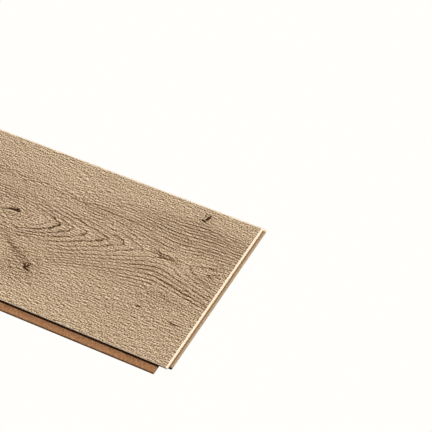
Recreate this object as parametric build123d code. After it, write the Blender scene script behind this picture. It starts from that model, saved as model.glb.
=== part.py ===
import math
import os

from build123d import *

# Laminate floor plank, lying flat with its decor face up.
# X runs along the plank, Y across it, Z up. The origin is on the underside,
# below the middle of the decor face. All sizes are millimetres.

# Board
face_length = 1285.0
face_width = 192.0
thickness = 7.0
decor_thickness = 0.4
backing_thickness = 0.25
long_bevel = 0.5
end_bevel = 1.5

# Groove under the upper lip
upper_lip = 2.2
groove_height = 2.2
groove_depth = 3.7
mouth_chamfer = 0.3

# Lower lip with its locking ridge
long_lip_reach = 7.2
end_lip_reach = 9.7
root_run = 0.9
ramp_run = 1.0
lip_floor = 1.8
ridge_width = 3.2
ridge_rise = 0.7
ridge_angle = 60.0
ridge_nose = 0.7

# Clearances of two joined planks
tongue_fit = 0.05
ridge_fit = 0.1
tip_gap = 0.4
lip_end_gap = 0.3

# Heights and depths that both edges share
groove_top = thickness - upper_lip
groove_floor = groove_top - groove_height
groove_round = groove_height / 2
straight_depth = groove_depth - groove_round
ridge_top = lip_floor + ridge_rise
ridge_run = ridge_rise / math.tan(math.radians(ridge_angle))


def groove_edge(reach, bevel):
    """Groove side from the decor face down, outward distance first, height second."""
    ridge_foot = reach - ridge_width
    return [
        Polyline(
            (-bevel, thickness),
            (0, thickness - bevel),
            (0, groove_top + mouth_chamfer),
            (-mouth_chamfer, groove_top),
            (-straight_depth, groove_top),
        ),
        ThreePointArc(
            (-straight_depth, groove_top),
            (-groove_depth, groove_top - groove_round),
            (-straight_depth, groove_floor),
        ),
        Polyline(
            (-straight_depth, groove_floor),
            (root_run, groove_floor),
            (root_run + ramp_run, lip_floor),
            (ridge_foot, lip_floor),
            (ridge_foot + ridge_run, ridge_top),
            (reach - ridge_nose, ridge_top),
        ),
        RadiusArc(
            (reach - ridge_nose, ridge_top), (reach, ridge_top - ridge_nose), ridge_nose
        ),
        Line((reach, ridge_top - ridge_nose), (reach, 0)),
    ]


def tongue_edge(reach, bevel):
    """Tongue side that takes a lower lip of this reach, in the same order."""
    tip = groove_depth - tip_gap
    top = groove_top - tongue_fit
    bottom = groove_floor + tongue_fit
    tip_round = (top - bottom) / 2
    heel = lip_floor + tongue_fit
    heel_end = reach - ridge_width - ridge_fit
    ceiling = ridge_top + ridge_fit
    ceiling_start = heel_end + ridge_run * (ceiling - heel) / ridge_rise
    recess = reach + lip_end_gap
    return [
        Polyline(
            (-bevel, thickness),
            (0, thickness - bevel),
            (0, top),
            (tip - tip_round, top),
        ),
        ThreePointArc(
            (tip - tip_round, top),
            (tip, top - tip_round),
            (tip - tip_round, bottom),
        ),
        Polyline(
            (tip - tip_round, bottom),
            (-root_run, bottom),
            (-root_run - ramp_run, heel),
            (-heel_end, heel),
            (-ceiling_start, ceiling),
            (-recess, ceiling),
            (-recess, 0),
        ),
    ]


def section(plane, span, reach, bevel):
    """Board section with its groove side first and its tongue side last."""
    half = span / 2
    groove = Curve() + [mirror(e, Plane.YZ) for e in groove_edge(reach, bevel)]
    groove = Pos(-half, 0) * groove
    tongue = Pos(half, 0) * (Curve() + tongue_edge(reach, bevel))
    top = Line((bevel - half, thickness), (half - bevel, thickness))
    foot = Line((-half - reach, 0), (half - reach - lip_end_gap, 0))
    return plane * make_face(groove.edges() + tongue.edges() + [top, foot])


long_section = section(Plane.YZ, face_width, long_lip_reach, long_bevel)
end_section = section(Plane.XZ, face_length, end_lip_reach, end_bevel)
along = extrude(long_section, face_length, both=True)
across = extrude(end_section, face_width, both=True)
plank = along & across

# Each lower lip is notched away where the other pair of edges has its recess
long_recess = long_lip_reach + lip_end_gap
end_recess = end_lip_reach + lip_end_gap
notch_height = groove_floor + groove_round
front = -face_width / 2 + straight_depth
left = -face_length / 2 + straight_depth
corner = (Align.MIN, Align.MAX, Align.MIN)
plank -= Pos(face_length / 2 - end_recess, front, 0) * Box(
    2 * end_recess, 2 * end_recess, notch_height, align=corner
)
corner = (Align.MAX, Align.MIN, Align.MIN)
plank -= Pos(left, face_width / 2 - long_recess, 0) * Box(
    2 * end_recess, 2 * end_recess, notch_height, align=corner
)

# Decor laminate on top, milled core, balancing paper underneath
under_decor = Plane.XY.offset(thickness - decor_thickness)
over_backing = Plane.XY.offset(backing_thickness)
decor_layer = split(plank, bisect_by=under_decor, keep=Keep.TOP)
body = split(plank, bisect_by=under_decor, keep=Keep.BOTTOM)
hdf_core = split(body, bisect_by=over_backing, keep=Keep.TOP)
backing_layer = split(body, bisect_by=over_backing, keep=Keep.BOTTOM)

os.makedirs("parts", exist_ok=True)
export_step(decor_layer, "parts/decor_layer.step")
export_step(hdf_core, "parts/hdf_core.step")
export_step(backing_layer, "parts/backing_layer.step")
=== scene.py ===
import math

import bpy
from mathutils import Euler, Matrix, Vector


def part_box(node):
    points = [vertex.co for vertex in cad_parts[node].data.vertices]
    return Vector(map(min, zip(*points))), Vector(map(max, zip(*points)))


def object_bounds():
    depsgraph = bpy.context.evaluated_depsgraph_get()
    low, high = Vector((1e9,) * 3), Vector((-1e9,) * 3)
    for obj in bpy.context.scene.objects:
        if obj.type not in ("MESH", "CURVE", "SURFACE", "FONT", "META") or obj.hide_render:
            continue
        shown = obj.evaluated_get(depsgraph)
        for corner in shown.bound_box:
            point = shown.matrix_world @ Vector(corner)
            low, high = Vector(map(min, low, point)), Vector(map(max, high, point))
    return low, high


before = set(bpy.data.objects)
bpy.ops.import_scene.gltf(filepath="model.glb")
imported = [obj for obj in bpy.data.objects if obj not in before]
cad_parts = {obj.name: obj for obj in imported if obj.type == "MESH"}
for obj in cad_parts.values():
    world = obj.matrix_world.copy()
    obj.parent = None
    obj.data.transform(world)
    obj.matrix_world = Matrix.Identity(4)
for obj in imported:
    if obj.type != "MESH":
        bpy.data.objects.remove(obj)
cad_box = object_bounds()

# Places on the plank in metres; the patterns further down are in millimetres
MM = 1000.0
decor_low, decor_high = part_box("decor_layer")
BEVEL_DROP = decor_high.z - decor_low.z
LONG_BEVEL_FOOT = 0.0001
END_BEVEL_FOOT = 0.0011
FACE_END = decor_high.x - BEVEL_DROP
CORE_END = decor_high.x + END_BEVEL_FOOT
NEAR_EDGE = decor_low.y - LONG_BEVEL_FOOT
FACE_HEIGHT = decor_high.z
LACQUER_FOOT = 0.0048
GROOVE_FOOT = 0.0027
GROOVE_REACH = 0.004
TONGUE_MIDDLE = 0.0037

# Camera at the photograph's angle and framing
CAMERA_AZIMUTH = 27.545
CAMERA_ELEVATION = 46.637
CAMERA_FIELD = 12.975
CAMERA_DISTANCE = 1.8309
CAMERA_TARGET = Vector((FACE_END - 0.04625, NEAR_EDGE + 0.18644, FACE_HEIGHT))

# Studio in metres: a wide floor a hair below the plank, white to the eye, and a dim room
FLOOR_HALF = 6.0
FLOOR_GAP = 0.0002
STUDIO_WHITE = "#FFFEFB"
FLOOR_GREY = "#7C7A77"
FLOOR_WHITE_SHARE = 0.8
FLOOR_WHITE_LEVEL = 1.2
ROOM_LEVEL = 0.14

# Sun lamps: name, strength, softness in degrees, elevation, heading
LAMPS = (
    ("key", 2.6, 12, 40, 90),
    ("top", 1.0, 12, 90, 0),
    ("back", 0.4, 30, 35, 215),
)

# Sockets of a colour Mix node
FACTOR, FIRST, SECOND = 0, 6, 7
MIXED = 2

# A noise swings about this value
NOISE_MIDDLE = 0.5

# Share of a normal along an axis, above which a surface lies flat or faces that way
FLAT_SHARE = 0.9
FACING_SHARE = 0.5

# Colours of the print; the wood turns to each of its colours between two tones
KNOT_BROWN = "#331805"
LINE_BROWN = "#553614"
WOOD_COLOURS = (
    ("#B39879", 0.0, 0.5),
    ("#F2DABA", 0.5, 1.0),
)
KNOT_TONE = -0.5
SOUND_TONE = -0.05

# Lacquer on the bevels: the cream at the short ends is partly a painted highlight, the darker tan along
# the sides partly painted shade
END_LACQUER_AND_HIGHLIGHT = "#F2DEC4"
SIDE_LACQUER_AND_SHADE = "#CDB9A2"

# Growth rings of the printed figure: millimetres, and slopes without a unit
RING_SPACING = 2.4
HEART_POINT = 1.0
HEART_POINTED = 0.22
HEART_ROUND = 45.0
HEART_OPEN = 1.0
HEART_MIDDLE = 111.0
HEART_SWAY = 6.0
HEART_SWAY_LENGTH = 330.0
HEART_SWAY_CREST = -62.0
HEART_LOW = 63.6
PINCH_POINT = 17.0
FLAME_MIDDLE = 120.0
FLAME_HALF_WIDTH = 60.0
STEEPEST_RINGS = 0.8

# How far rings, fibres and shades stray, millimetres
RING_DRIFT = 5.0
RING_UNEVEN = 3.0
RING_TREMBLE = 2.2
BUNDLE_CALM = 1.4
FIBRE_DRIFT = 6.0
SHADE_TREMBLE = 5.0

# Ring lines: rim and dark core in millimetres, then shares of their width and strength
LINE_RIM = 1.9
LINE_CORE = 0.55
LINE_THIN = 1.7
BUNDLE_THIN = 0.6
WEAKEST_LINE = 0.5
BUNDLE_EVEN = 0.9
RING_DARKENING = 0.25

# Lines are clear at the first distance from the heart and faint at the second, and patchy
CLEAR_AT = 4.0
FAINT_AT = 62.0
CLEAR_LINE = 1.45
FAINT_LINE = 0.2
PATCH_NOISE = (0.3, 0.6)
PATCH_LINE = 0.5

# Sizes of the print's patterns along and across the plank, millimetres
DRIFT_SIZE = (130, 55)
TREMBLE_SIZE = (12, 6)
PATCH_SIZE = (32, 6)
RING_UNEVEN_SIZE = 13
CLOUD_SIZE = 45
RAGGED_SIZE = 1.3

# Real pores are a tenth of a millimetre wide: fibres and embossing, and the shading painted onto them,
# are drawn coarser to show
FIBRE_SIZE = (7, 0.95)
FIBRE_TURN = 0.02
FIBRE_SHIFT = (0, 1.4, 0)
GRIT_SIZE = (1.15, 1.15)
GRIT_TURN = 0.6
GRIT_SHIFT = (0.9, 0.9, 0)

# Tone of plain wood, and how much each pattern changes it
PLAIN_TONE = 0.55
LINE_DEPTH = 0.55
SPECKLE_SHARE = 0.95
CLOUD_DEPTH = 0.12
MARK_DEPTH = 0.9

# The fine grain is strong at the first place along the plank and softer from the second on
GRAIN_FROM = -200.0
GRAIN_TO = -60.0
GRAIN_STRONG = 1.3
GRAIN_SOFT = 1.08
BUNDLE_SOFTER = 0.2

# Rims that the soft ovals fade across, as shares of their half sizes, and how ragged a mark's is
BUNDLE_RIM = (0.4, 1.2)
SHADE_RIM = (0.0, 1.3)
MARK_RIM = (0.5, 1.4)
MARK_RAGGED = 2.0

# Milled core, millimetres: fibre flecks, drawn coarser than real to show, and the rim of the painted
# shade along the roots of the end tongue and lip
FLECK_SIZE = 1.6
ROOT_SHADE_DARKEST = 1.3
ROOT_SHADE_GONE = 2.1

# Balancing paper: size of its resin mottle, millimetres
MOTTLE_SIZE = 9

# Where the flame figure pinches shut: place along the plank, reach, rise
PINCHES = (
    (-64, 80, 19),
    (-505, 90, 17),
    (-845, 75, 16),
    (-1150, 95, 17),
)

# How knots bend the rings: along, across, stretch along, reach, depth
KNOT_RINGS = (
    (-226, 99, 1.15, 27, 20),
    (-175, 47, 1.3, 22, 24),
    (-52, 182, 1.2, 11, 11),
    (-418, 148, 1.3, 18, 30),
    (-672, 72, 1.3, 24, 44),
    (-742, 158, 1.2, 12, 14),
    (-1010, 118, 1.2, 22, 40),
    (-1218, 44, 1.3, 16, 24),
)

# Bundles of clear ring lines: along, across, half length, half width, tilt in degrees, strength
BUNDLES = (
    (-48, 154, 105, 27, 0, 1.1),
    (-105, 84, 120, 21, 12, 0.95),
    (-225, 131, 62, 15, 0, 0.7),
    (-330, 60, 120, 24, -4, 0.6),
    (-640, 150, 150, 26, 3, 0.7),
    (-930, 70, 130, 24, -3, 0.65),
    (-1180, 150, 120, 24, 2, 0.7),
)

# Quiet wood where the ring lines fade, with the same values
QUIETS = (
    (-226, 97, 34, 20, 0, 0.5),
    (-185, 40, 45, 26, 0, 0.5),
)

# Dark marks of knots and cracks, with the same values; a negative strength is a pale core
KNOT_MARKS = (
    (-223.0, 104.2, 6.0, 1.2, 12, 1.4),
    (-228.5, 102.6, 4.4, 0.7, 10, 1.3),
    (-220.0, 106.0, 3.2, 0.8, 34, 1.2),
    (-219.0, 103.6, 2.4, 0.7, -16, 1.1),
    (-51.0, 180.2, 1.4, 3.8, -18, 1.4),
    (-54.4, 181.4, 0.9, 1.8, 30, 0.9),
    (-53.6, 175.2, 2.8, 1.2, -8, 1.3),
    (-174.8, 47.2, 2.7, 4.0, 8, 1.2),
    (-175.1, 48.2, 1.2, 2.0, 8, -1.2),
    (-172.0, 43.0, 3.2, 1.0, -18, 1.3),
    (-18.0, 47.6, 5.6, 0.7, -2, 1.5),
    (-57.0, 51.6, 3.0, 1.1, 4, 0.7),
    (-416, 149, 5.0, 1.8, -10, 1.0),
    (-672, 73, 6.5, 2.6, 8, 1.0),
    (-741, 159, 2.2, 2.8, 20, 0.9),
    (-1009, 119, 6.0, 2.2, -8, 1.0),
    (-1216, 45, 4.0, 2.4, 12, 0.9),
    (-356, 64, 6.0, 0.6, -3, 0.9),
    (-915, 38, 8.0, 0.6, 2, 0.9),
    (-588, 170, 5.0, 0.6, 0, 0.8),
)

# Soft shades in the print, with the same values
SHADES = (
    (-74, 118, 16, 2.2, 4, 0.22),
    (-54, 117, 16, 2.2, -3, 0.22),
    (-14, 113, 13, 5.5, 0, 0.10),
    (-11, 117.5, 12, 1.6, 27, 0.26),
    (-11, 108, 12, 1.6, -24, 0.26),
    (-20, 123, 18, 1.5, 25, 0.20),
    (-22, 106, 22, 1.5, -20, 0.22),
    (-199, 63, 32, 5.5, -31, 0.26),
    (-180, 42, 36, 24, 0, 0.20),
    (-222, 94, 20, 16, 0, 0.04),
    (-120, 114, 14, 6, 0, 0.07),
    (-52, 178, 14, 12, 0, 0.05),
    (-60, 35, 90, 45, 0, 0.05),
    (-672, 70, 26, 18, 0, 0.12),
    (-1009, 117, 24, 16, 0, 0.12),
    (-416, 146, 20, 14, 0, 0.10),
    (-505, 108, 30, 5, 4, 0.12),
)


def linear(colour):
    """Linear RGBA of an sRGB hex colour."""
    channels = [int(colour[i:i + 2], 16) / 255 for i in (1, 3, 5)]
    curve = [c / 12.92 if c <= 0.04045 else ((c + 0.055) / 1.055) ** 2.4 for c in channels]
    return (*curve, 1.0)


def add(tree, kind, links=(), **settings):
    """Adds one node; links gives each input a node, a socket or a plain value."""
    made = tree.nodes.new(kind)
    for name, value in settings.items():
        setattr(made, name, value)
    pairs = links.items() if isinstance(links, dict) else enumerate(links)
    for key, value in pairs:
        if isinstance(value, bpy.types.Node):
            value = value.outputs[0]
        if isinstance(value, bpy.types.NodeSocket):
            tree.links.new(value, made.inputs[key])
        else:
            made.inputs[key].default_value = value
    return made


def new_material(name):
    """An empty node material and its tree."""
    material = bpy.data.materials.new(name)
    material.use_nodes = True
    material.node_tree.nodes.clear()
    return material, material.node_tree


def face_place(tree):
    """Millimetres from the right end and the near edge, flattened onto the face."""
    coords = add(tree, "ShaderNodeTexCoord").outputs["Object"]
    corner = (-FACE_END, -NEAR_EDGE, 0)
    moved = add(tree, "ShaderNodeVectorMath", (coords, corner), operation="ADD")
    return add(tree, "ShaderNodeVectorMath", (moved, (MM, MM, 0)), operation="MULTIPLY")


def repeats(size):
    """Scale of a pattern of this size along and across the plank."""
    return (1 / size[0], 1 / size[1], 1)


def oval(tree, place, along, across, half_length, half_width, tilt=0.0):
    """Distance from a turned oval's middle, 1 on its rim."""
    held = add(
        tree,
        "ShaderNodeMapping",
        {
            "Vector": place,
            "Location": (along, across, 0),
            "Rotation": (0, 0, math.radians(tilt)),
            "Scale": (half_length, half_width, 1),
        },
        vector_type="TEXTURE",
    )
    return add(tree, "ShaderNodeVectorMath", (held,), operation="LENGTH").outputs["Value"]


def soft_oval(tree, place, shape, rim, inside=1.0, outside=0.0, ragged=None):
    """A value that fades from inside to outside across an oval's rim, which may be ragged."""
    far = oval(tree, place, *shape)
    if ragged:
        far = add(tree, "ShaderNodeMath", (ragged, MARK_RAGGED, far), operation="MULTIPLY_ADD")
    return add(
        tree,
        "ShaderNodeMapRange",
        {"Value": far, "From Min": rim[0], "From Max": rim[1], "To Min": inside, "To Max": outside},
        interpolation_type="SMOOTHSTEP",
    )


def painted_relief_shading(tree, pattern, shift):
    """Noise less the same noise a step away, so each stroke has a painted lit side and a painted shaded
    side, as embossing shows under a side light.
    """
    here = add(tree, "ShaderNodeTexNoise", {"Vector": pattern, "Scale": 1.0, "Detail": 0.0})
    beyond = add(tree, "ShaderNodeVectorMath", (pattern, shift), operation="ADD")
    there = add(tree, "ShaderNodeTexNoise", {"Vector": beyond, "Scale": 1.0, "Detail": 0.0})
    return add(tree, "ShaderNodeMath", (here, there), operation="SUBTRACT")


def bevel_lacquer_and_painted_light(tree, facing):
    """Whether a surface looks towards a short end, and its colour: cream lacquer there, partly a painted
    highlight, and tan lacquer along the sides, partly painted shade.
    """
    endways = add(tree, "ShaderNodeMath", (facing.outputs[0],), operation="ABSOLUTE")
    endways = add(tree, "ShaderNodeMath", (endways, FACING_SHARE), operation="GREATER_THAN")
    lacquer_and_painted_light = add(
        tree,
        "ShaderNodeMix",
        {FACTOR: endways, FIRST: linear(SIDE_LACQUER_AND_SHADE), SECOND: linear(END_LACQUER_AND_HIGHLIGHT)},
        data_type="RGBA",
    )
    return endways, lacquer_and_painted_light.outputs[MIXED]


def ring_distance(tree, place):
    """Distance across the growth rings: heart, pinches and knots shape the flame figure."""
    parts = add(tree, "ShaderNodeSeparateXYZ", (place,))
    along, across = parts.outputs[0], parts.outputs[1]

    # The flame is strong in the middle of the plank, and its heart sways along it
    off_flame = add(tree, "ShaderNodeMath", (across, FLAME_MIDDLE), operation="SUBTRACT")
    off_flame = add(tree, "ShaderNodeMath", (off_flame, 1 / FLAME_HALF_WIDTH), operation="MULTIPLY")
    square = add(tree, "ShaderNodeMath", (off_flame, off_flame), operation="MULTIPLY")
    in_flame = add(tree, "ShaderNodeMath", (math.exp(-1), square), operation="POWER")
    off_middle = add(tree, "ShaderNodeMath", (across, HEART_MIDDLE), operation="SUBTRACT")
    turn = add(tree, "ShaderNodeMath", (along, -HEART_SWAY_CREST), operation="ADD")
    turn = add(tree, "ShaderNodeMath", (turn, 2 * math.pi / HEART_SWAY_LENGTH), operation="MULTIPLY")
    sway = add(tree, "ShaderNodeMath", (turn,), operation="COSINE")
    sway = add(tree, "ShaderNodeMath", (sway, in_flame), operation="MULTIPLY")
    off_heart = add(tree, "ShaderNodeMath", (sway, -HEART_SWAY, off_middle), operation="MULTIPLY_ADD")
    beside = add(tree, "ShaderNodeMath", (off_heart,), operation="ABSOLUTE")

    # Rings open in a round valley with a pointed floor; the slope keeps their lines even in width
    pointed = add(tree, "ShaderNodeCombineXYZ", (off_heart, HEART_POINT, 0))
    pointed = add(tree, "ShaderNodeVectorMath", (pointed,), operation="LENGTH").outputs["Value"]
    rounded = add(tree, "ShaderNodeCombineXYZ", (off_heart, HEART_ROUND, 0))
    rounded = add(tree, "ShaderNodeVectorMath", (rounded,), operation="LENGTH").outputs["Value"]
    slant = add(tree, "ShaderNodeMath", (beside, rounded), operation="DIVIDE")
    slant = add(tree, "ShaderNodeMath", (slant, HEART_OPEN, HEART_POINTED), operation="MULTIPLY_ADD")
    total = add(tree, "ShaderNodeMath", (rounded, HEART_OPEN, -HEART_LOW), operation="MULTIPLY_ADD")
    total = add(tree, "ShaderNodeMath", (pointed, HEART_POINTED, total), operation="MULTIPLY_ADD")

    # Pinches close the valley into flames
    lean = 0.0
    for middle, reach, rise in PINCHES:
        offset = add(tree, "ShaderNodeMath", (along, middle), operation="SUBTRACT")
        offset = add(tree, "ShaderNodeCombineXYZ", (offset, PINCH_POINT, 0))
        offset = add(tree, "ShaderNodeVectorMath", (offset,), operation="LENGTH").outputs["Value"]
        bell = add(tree, "ShaderNodeMath", (math.exp(-1 / reach), offset), operation="POWER")
        bell = add(tree, "ShaderNodeMath", (bell, in_flame), operation="MULTIPLY")
        total = add(tree, "ShaderNodeMath", (bell, rise, total), operation="MULTIPLY_ADD")
        lean = add(tree, "ShaderNodeMath", (bell, rise / reach, lean), operation="MULTIPLY_ADD")
    slope = add(tree, "ShaderNodeCombineXYZ", (slant, lean, 0))
    slope = add(tree, "ShaderNodeVectorMath", (slope,), operation="LENGTH").outputs["Value"]

    # Knots draw the rings in around them
    for x, y, stretch, reach, depth in KNOT_RINGS:
        far = oval(tree, place, x, y, reach * stretch, reach)
        fall = add(tree, "ShaderNodeMath", (math.exp(-1), far), operation="POWER")
        total = add(tree, "ShaderNodeMath", (fall, -depth, total), operation="MULTIPLY_ADD")
        steep = add(tree, "ShaderNodeMath", (fall, depth / reach), operation="MULTIPLY")
        slope = add(tree, "ShaderNodeMath", (steep, slope), operation="MAXIMUM")
    slope = add(tree, "ShaderNodeMath", (slope, STEEPEST_RINGS), operation="MINIMUM")
    return along, total, beside, slope


def oak_print_laminate():
    """Oak print under matt embossed melamine: brown ring lines and pores on pale tan, barely glossy."""
    material, tree = new_material("oak_print_laminate")
    place = face_place(tree)

    # Rings sway over some centimetres and tremble over some millimetres, less so in the bundles
    wide = add(tree, "ShaderNodeVectorMath", (place, repeats(DRIFT_SIZE)), operation="MULTIPLY")
    drift = add(tree, "ShaderNodeTexNoise", {"Vector": wide, "Scale": 1.0, "Detail": 2.0})
    drift = add(tree, "ShaderNodeMath", (drift, -NOISE_MIDDLE), operation="ADD")
    close = add(tree, "ShaderNodeVectorMath", (place, repeats(TREMBLE_SIZE)), operation="MULTIPLY")
    tremble = add(tree, "ShaderNodeTexNoise", {"Vector": close, "Scale": 1.0, "Detail": 3.0})
    tremble = add(tree, "ShaderNodeMath", (tremble, -NOISE_MIDDLE), operation="ADD")
    bundled = 0.0
    for *shape, strength in BUNDLES:
        bundle = soft_oval(tree, place, shape, BUNDLE_RIM, inside=strength)
        bundled = add(tree, "ShaderNodeMath", (bundle, bundled), operation="MAXIMUM")
    shaking = add(
        tree, "ShaderNodeMath", (bundled, -BUNDLE_CALM, RING_TREMBLE), operation="MULTIPLY_ADD"
    )
    along, distance, beside, slope = ring_distance(tree, place)
    distance = add(tree, "ShaderNodeMath", (drift, RING_DRIFT, distance), operation="MULTIPLY_ADD")
    distance = add(tree, "ShaderNodeMath", (tremble, shaking, distance), operation="MULTIPLY_ADD")

    # Each ring darkens slowly and ends in a sharp line of its own strength
    uneven = add(
        tree,
        "ShaderNodeTexNoise",
        {"W": distance, "Scale": 1 / RING_UNEVEN_SIZE, "Detail": 1.0},
        noise_dimensions="1D",
    )
    rings = add(tree, "ShaderNodeMath", (uneven, RING_UNEVEN, distance), operation="MULTIPLY_ADD")
    rings = add(tree, "ShaderNodeMath", (rings, 1 / RING_SPACING), operation="MULTIPLY")
    count = add(tree, "ShaderNodeMath", (rings,), operation="FLOOR")
    share = add(tree, "ShaderNodeMath", (rings,), operation="FRACT")
    each = add(tree, "ShaderNodeTexWhiteNoise", {"W": count}, noise_dimensions="1D").outputs["Value"]
    strength = add(
        tree, "ShaderNodeMath", (each, 1 - WEAKEST_LINE, WEAKEST_LINE), operation="MULTIPLY_ADD"
    )
    even = add(tree, "ShaderNodeMath", (bundled, BUNDLE_EVEN), operation="MULTIPLY")
    strength = add(tree, "ShaderNodeMath", (strength, even), operation="MAXIMUM")

    # Lines are clear round the heart and in the bundles, faint elsewhere, and patchy along their way
    clear = add(
        tree,
        "ShaderNodeMapRange",
        {
            "Value": beside,
            "From Min": CLEAR_AT,
            "From Max": FAINT_AT,
            "To Min": CLEAR_LINE,
            "To Max": FAINT_LINE,
        },
        interpolation_type="SMOOTHSTEP",
    )
    clear = add(tree, "ShaderNodeMath", (bundled, clear), operation="MAXIMUM")
    for *shape, quiet in QUIETS:
        faint = soft_oval(tree, place, shape, BUNDLE_RIM, inside=1.0 - quiet, outside=1.0)
        clear = add(tree, "ShaderNodeMath", (faint, clear), operation="MULTIPLY")
    grain = add(tree, "ShaderNodeCombineXYZ", (along, distance, 0))
    stretch = add(tree, "ShaderNodeVectorMath", (grain, repeats(PATCH_SIZE)), operation="MULTIPLY")
    patchy = add(tree, "ShaderNodeTexNoise", {"Vector": stretch, "Scale": 1.0, "Detail": 1.0})
    patchy = add(
        tree,
        "ShaderNodeMapRange",
        {
            "Value": patchy,
            "From Min": PATCH_NOISE[0],
            "From Max": PATCH_NOISE[1],
            "To Min": PATCH_LINE,
            "To Max": 1.0,
        },
    )

    # A strong line is wide, and the wood darkens a little towards each line
    left = add(tree, "ShaderNodeMath", (share, -RING_SPACING, RING_SPACING), operation="MULTIPLY_ADD")
    left = add(tree, "ShaderNodeMath", (left, slope), operation="DIVIDE")
    thin = add(tree, "ShaderNodeMath", (bundled, BUNDLE_THIN, LINE_THIN), operation="MULTIPLY_ADD")
    thin = add(tree, "ShaderNodeMath", (thin, strength), operation="SUBTRACT")
    left = add(tree, "ShaderNodeMath", (left, thin), operation="MULTIPLY")
    line = add(
        tree,
        "ShaderNodeMapRange",
        {"Value": left, "From Min": LINE_RIM, "From Max": LINE_CORE},
        interpolation_type="SMOOTHSTEP",
    )
    line = add(tree, "ShaderNodeMath", (share, RING_DARKENING, line), operation="MULTIPLY_ADD")
    line = add(tree, "ShaderNodeMath", (line, strength), operation="MULTIPLY")
    line = add(tree, "ShaderNodeMath", (line, patchy), operation="MULTIPLY")
    line = add(tree, "ShaderNodeMath", (line, clear), operation="MULTIPLY")

    # Fibres are strokes along the plank, gently waved, and the embossing is a speckle over them; both are
    # partly the print's grain and partly painted shading of the embossing, a lit and a shaded side on
    # each
    wave = add(tree, "ShaderNodeCombineXYZ", (0, drift, 0))
    wavy = add(tree, "ShaderNodeVectorMath", (wave, (0, FIBRE_DRIFT, 0), place), operation="MULTIPLY_ADD")
    strokes = add(
        tree,
        "ShaderNodeMapping",
        {"Vector": wavy, "Rotation": (0, 0, FIBRE_TURN), "Scale": repeats(FIBRE_SIZE)},
    )
    fibre = painted_relief_shading(tree, strokes, FIBRE_SHIFT)
    grit = add(
        tree,
        "ShaderNodeMapping",
        {"Vector": place, "Rotation": (0, 0, GRIT_TURN), "Scale": repeats(GRIT_SIZE)},
    )
    speckle = painted_relief_shading(tree, grit, GRIT_SHIFT)
    grain_and_painted_relief = add(tree, "ShaderNodeMath", (speckle, SPECKLE_SHARE, fibre), operation="MULTIPLY_ADD")
    rough = add(
        tree,
        "ShaderNodeMapRange",
        {
            "Value": along,
            "From Min": GRAIN_FROM,
            "From Max": GRAIN_TO,
            "To Min": GRAIN_STRONG,
            "To Max": GRAIN_SOFT,
        },
    )
    rough = add(tree, "ShaderNodeMath", (bundled, -BUNDLE_SOFTER, rough), operation="MULTIPLY_ADD")

    # Tone from 0, line brown, to 1, pale wood; the knots go below 0
    tone = add(tree, "ShaderNodeMath", (line, -LINE_DEPTH, PLAIN_TONE), operation="MULTIPLY_ADD")
    # The fine grain adds the print's texture and the embossing's painted shading to the tone
    tone = add(tree, "ShaderNodeMath", (grain_and_painted_relief, rough, tone), operation="MULTIPLY_ADD")
    cloud = add(tree, "ShaderNodeTexNoise", {"Vector": place, "Scale": 1 / CLOUD_SIZE, "Detail": 2.0})
    cloud = add(tree, "ShaderNodeMath", (cloud, -NOISE_MIDDLE), operation="ADD")
    tone = add(tree, "ShaderNodeMath", (cloud, CLOUD_DEPTH, tone), operation="MULTIPLY_ADD")
    wave = add(tree, "ShaderNodeCombineXYZ", (0, tremble, 0))
    shaky = add(
        tree, "ShaderNodeVectorMath", (wave, (0, SHADE_TREMBLE, 0), place), operation="MULTIPLY_ADD"
    )
    for *shape, depth in SHADES:
        soft = soft_oval(tree, shaky, shape, SHADE_RIM)
        tone = add(tree, "ShaderNodeMath", (soft, -depth, tone), operation="MULTIPLY_ADD")
    ragged = add(tree, "ShaderNodeTexNoise", {"Vector": place, "Scale": 1 / RAGGED_SIZE, "Detail": 2.0})
    ragged = add(tree, "ShaderNodeMath", (ragged, -NOISE_MIDDLE), operation="ADD")
    for *shape, depth in KNOT_MARKS:
        mark = soft_oval(tree, place, shape, MARK_RIM, ragged=ragged)
        tone = add(tree, "ShaderNodeMath", (mark, -MARK_DEPTH * depth, tone), operation="MULTIPLY_ADD")

    # Colour of each tone
    colour = linear(LINE_BROWN)
    for shade, low, high in WOOD_COLOURS:
        paler = add(tree, "ShaderNodeMapRange", {"Value": tone, "From Min": low, "From Max": high})
        colour = add(
            tree,
            "ShaderNodeMix",
            {FACTOR: paler, FIRST: colour, SECOND: linear(shade)},
            data_type="RGBA",
        ).outputs[MIXED]
    sound = add(
        tree, "ShaderNodeMapRange", {"Value": tone, "From Min": KNOT_TONE, "From Max": SOUND_TONE}
    )
    colour = add(
        tree,
        "ShaderNodeMix",
        {FACTOR: sound, FIRST: linear(KNOT_BROWN), SECOND: colour},
        data_type="RGBA",
    ).outputs[MIXED]

    # The bevels are lacquered: cream at the short ends, partly a painted highlight, and near the face's
    # tone along the sides, partly painted shade
    normal = add(tree, "ShaderNodeTexCoord").outputs["Normal"]
    facing = add(tree, "ShaderNodeSeparateXYZ", (normal,))
    slanted = add(tree, "ShaderNodeMath", (facing.outputs[2], FLAT_SHARE), operation="LESS_THAN")
    lacquer_and_painted_light = bevel_lacquer_and_painted_light(tree, facing)[1]
    finished = add(
        tree,
        "ShaderNodeMix",
        {FACTOR: slanted, FIRST: colour, SECOND: lacquer_and_painted_light},
        data_type="RGBA",
    )
    relief = add(tree, "ShaderNodeBump", {"Height": speckle, "Strength": 0.5, "Distance": 0.0002})
    shader = add(
        tree,
        "ShaderNodeBsdfPrincipled",
        {
            "Base Color": finished.outputs[MIXED],
            "Roughness": 0.6,
            "IOR": 1.5,
            "Specular IOR Level": 0.15,
            "Normal": relief,
        },
    )
    add(tree, "ShaderNodeOutputMaterial", (shader,))
    return material


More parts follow.
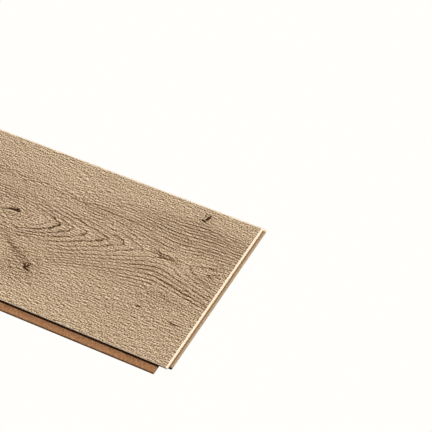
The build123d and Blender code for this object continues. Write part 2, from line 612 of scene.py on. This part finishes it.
def milled_fibreboard():
    """High-density fibreboard cut by a profile mill: reddish brown, matt, flecked with fibre."""
    material, tree = new_material("milled_fibreboard")
    coords = add(tree, "ShaderNodeTexCoord")
    place = add(
        tree, "ShaderNodeVectorMath", (coords.outputs["Object"], (MM, MM, MM)), operation="MULTIPLY"
    )
    along, across, height = add(tree, "ShaderNodeSeparateXYZ", (place,)).outputs
    facing = add(tree, "ShaderNodeSeparateXYZ", (coords.outputs["Normal"],))

    # Fibre flecks; the short ends are drawn paler and greyer than the long sides
    fibres = add(
        tree,
        "ShaderNodeTexNoise",
        {"Vector": place, "Scale": 1 / FLECK_SIZE, "Detail": 3.0, "Roughness": 0.65},
    )
    fleck = add(tree, "ShaderNodeMapRange", {"Value": fibres, "From Min": 0.35, "From Max": 0.68})
    side = add(
        tree,
        "ShaderNodeMix",
        {FACTOR: fleck, FIRST: linear("#8A5E3C"), SECOND: linear("#BC8A62")},
        data_type="RGBA",
    )
    end = add(
        tree,
        "ShaderNodeMix",
        {FACTOR: fleck, FIRST: linear("#9A8063"), SECOND: linear("#BCA283")},
        data_type="RGBA",
    )

    # Painted shade: a darker line along the root of the end tongue and of the end lip, where shade falls
    # in the inner corner
    outward = add(tree, "ShaderNodeMath", (along,), operation="ABSOLUTE")
    clear_of_root_shade = add(
        tree,
        "ShaderNodeMapRange",
        {
            "Value": outward,
            "From Min": CORE_END * MM + ROOT_SHADE_DARKEST,
            "From Max": CORE_END * MM + ROOT_SHADE_GONE,
        },
        interpolation_type="SMOOTHSTEP",
    )
    end = add(
        tree,
        "ShaderNodeMix",
        {FACTOR: clear_of_root_shade, FIRST: linear("#886B4D"), SECOND: end.outputs[MIXED]},
        data_type="RGBA",
    )
    beyond = add(tree, "ShaderNodeMath", (outward, CORE_END * MM), operation="GREATER_THAN")
    board = add(
        tree,
        "ShaderNodeMix",
        {FACTOR: beyond, FIRST: side.outputs[MIXED], SECOND: end.outputs[MIXED]},
        data_type="RGBA",
    )

    # Painted shade: the grooves and the faces just above them are painted almost black, where shade falls
    # under the upper lip
    near_depth = (NEAR_EDGE + GROOVE_REACH) * MM
    left_depth = (GROOVE_REACH - CORE_END) * MM
    near = add(tree, "ShaderNodeMath", (across, near_depth), operation="LESS_THAN")
    left = add(tree, "ShaderNodeMath", (along, left_depth), operation="LESS_THAN")
    over_lip = add(tree, "ShaderNodeMath", (height, GROOVE_FOOT * MM), operation="GREATER_THAN")
    groove_shade = add(tree, "ShaderNodeMath", (near, left), operation="MAXIMUM")
    groove_shade = add(tree, "ShaderNodeMath", (groove_shade, over_lip), operation="MULTIPLY")
    board = add(
        tree,
        "ShaderNodeMix",
        {FACTOR: groove_shade, FIRST: board.outputs[MIXED], SECOND: linear("#4A2C18")},
        data_type="RGBA",
    )

    # The upper half of the long tongue is sealed with pale wax, a light line behind the face
    behind = add(tree, "ShaderNodeMath", (across, -NEAR_EDGE * MM), operation="GREATER_THAN")
    upper = add(tree, "ShaderNodeMath", (height, TONGUE_MIDDLE * MM), operation="GREATER_THAN")
    waxed = add(tree, "ShaderNodeMath", (behind, upper), operation="MULTIPLY")
    board = add(
        tree,
        "ShaderNodeMix",
        {FACTOR: waxed, FIRST: board.outputs[MIXED], SECOND: linear(END_LACQUER_AND_HIGHLIGHT)},
        data_type="RGBA",
    )

    # The bevels, and the closing face of the short ends, are lacquered; the short ends' cream is partly a
    # painted highlight, the sides' tan partly painted shade
    raised = add(tree, "ShaderNodeMath", (height, LACQUER_FOOT * MM), operation="GREATER_THAN")
    sloped = add(tree, "ShaderNodeMath", (facing.outputs[2], FACING_SHARE), operation="GREATER_THAN")
    endways, lacquer_and_painted_light = bevel_lacquer_and_painted_light(tree, facing)
    either = add(tree, "ShaderNodeMath", (sloped, endways), operation="MAXIMUM")
    lacquer_and_painted_light_mask = add(tree, "ShaderNodeMath", (raised, either), operation="MULTIPLY")
    colour = add(
        tree,
        "ShaderNodeMix",
        {FACTOR: lacquer_and_painted_light_mask, FIRST: board.outputs[MIXED], SECOND: lacquer_and_painted_light},
        data_type="RGBA",
    )
    relief = add(tree, "ShaderNodeBump", {"Height": fibres, "Strength": 0.4, "Distance": 0.0003})
    shader = add(
        tree,
        "ShaderNodeBsdfPrincipled",
        {
            "Base Color": colour.outputs[MIXED],
            "Roughness": 0.85,
            "Specular IOR Level": 0.2,
            "Normal": relief,
        },
    )
    add(tree, "ShaderNodeOutputMaterial", (shader,))
    return material


def balancing_paper():
    """Resin-soaked kraft paper: dull brown beige, mottled where the resin soaked in."""
    material, tree = new_material("balancing_paper")
    coords = add(tree, "ShaderNodeTexCoord").outputs["Object"]
    place = add(tree, "ShaderNodeVectorMath", (coords, (MM, MM, MM)), operation="MULTIPLY")
    mottle = add(
        tree,
        "ShaderNodeTexNoise",
        {"Vector": place, "Scale": 1 / MOTTLE_SIZE, "Detail": 5.0, "Roughness": 0.7},
    )
    soak = add(tree, "ShaderNodeMapRange", {"Value": mottle, "From Min": 0.3, "From Max": 0.7})
    colour = add(
        tree,
        "ShaderNodeMix",
        {FACTOR: soak, FIRST: linear("#8A7358"), SECOND: linear("#A88F70")},
        data_type="RGBA",
    )
    shader = add(
        tree,
        "ShaderNodeBsdfPrincipled",
        {"Base Color": colour.outputs[MIXED], "Roughness": 0.7, "Specular IOR Level": 0.3},
    )
    add(tree, "ShaderNodeOutputMaterial", (shader,))
    return material


def pale_floor():
    """Seamless white floor that the camera sees as white, with the plank's soft shadow left in it."""
    material, tree = new_material("pale_floor")
    path = add(tree, "ShaderNodeLightPath")
    rays = (path.outputs["Is Camera Ray"], path.outputs["Is Glossy Ray"])
    seen = add(tree, "ShaderNodeMath", rays, operation="MAXIMUM")
    share = add(tree, "ShaderNodeMath", (seen, FLOOR_WHITE_SHARE), operation="MULTIPLY")
    matt = add(tree, "ShaderNodeBsdfDiffuse", {"Color": linear(FLOOR_GREY)})
    glow = {"Color": linear(STUDIO_WHITE), "Strength": FLOOR_WHITE_LEVEL}
    white = add(tree, "ShaderNodeEmission", glow)
    shader = add(tree, "ShaderNodeMixShader", (share, matt, white))
    add(tree, "ShaderNodeOutputMaterial", (shader,))
    return material


def dress(node, material):
    """Gives a CAD node its one material."""
    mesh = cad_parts[node].data
    mesh.materials.clear()
    mesh.materials.append(material)


def make_floor():
    """A flat floor just under the plank."""
    height = cad_box[0][2] - FLOOR_GAP
    turns = ((-1, -1), (1, -1), (1, 1), (-1, 1))
    corners = [(x * FLOOR_HALF, y * FLOOR_HALF, height) for x, y in turns]
    mesh = bpy.data.meshes.new("floor")
    mesh.from_pydata(corners, [], [(0, 1, 2, 3)])
    mesh.materials.append(pale_floor())
    floor = bpy.data.objects.new("floor", mesh)
    bpy.context.scene.collection.objects.link(floor)


def make_camera():
    """Long lens at the photograph's angle, aimed at the point in the picture's middle."""
    lens = bpy.data.cameras.new("camera")
    lens.sensor_width = 36.0
    lens.angle = math.radians(CAMERA_FIELD)
    camera = bpy.data.objects.new("camera", lens)
    turn = Euler((math.radians(90 - CAMERA_ELEVATION), 0, math.radians(CAMERA_AZIMUTH)))
    camera.rotation_euler = turn
    camera.location = CAMERA_TARGET + turn.to_matrix() @ Vector((0, 0, CAMERA_DISTANCE))
    bpy.context.scene.collection.objects.link(camera)
    bpy.context.scene.camera = camera


def make_light():
    """Key from the right end, top light, weak light from the back left, and a dim room seen as white."""
    for name, energy, softness, elevation, heading in LAMPS:
        lamp = bpy.data.lights.new(name, "SUN")
        lamp.energy = energy
        lamp.angle = math.radians(softness)
        sun = bpy.data.objects.new(name, lamp)
        sun.rotation_euler = (math.radians(90 - elevation), 0, math.radians(heading))
        bpy.context.scene.collection.objects.link(sun)
    world = bpy.data.worlds.new("studio")
    world.use_nodes = True
    tree = world.node_tree
    tree.nodes.clear()
    seen = add(tree, "ShaderNodeLightPath").outputs["Is Camera Ray"]
    strength = add(tree, "ShaderNodeMapRange", {"Value": seen, "To Min": ROOM_LEVEL, "To Max": 1.0})
    room = add(tree, "ShaderNodeBackground", {"Color": linear(STUDIO_WHITE), "Strength": strength})
    add(tree, "ShaderNodeOutputWorld", (room,))
    bpy.context.scene.world = world


dress("decor_layer", oak_print_laminate())
dress("hdf_core", milled_fibreboard())
dress("backing_layer", balancing_paper())
make_floor()
make_camera()
make_light()
bpy.context.scene.view_settings.view_transform = "Standard"
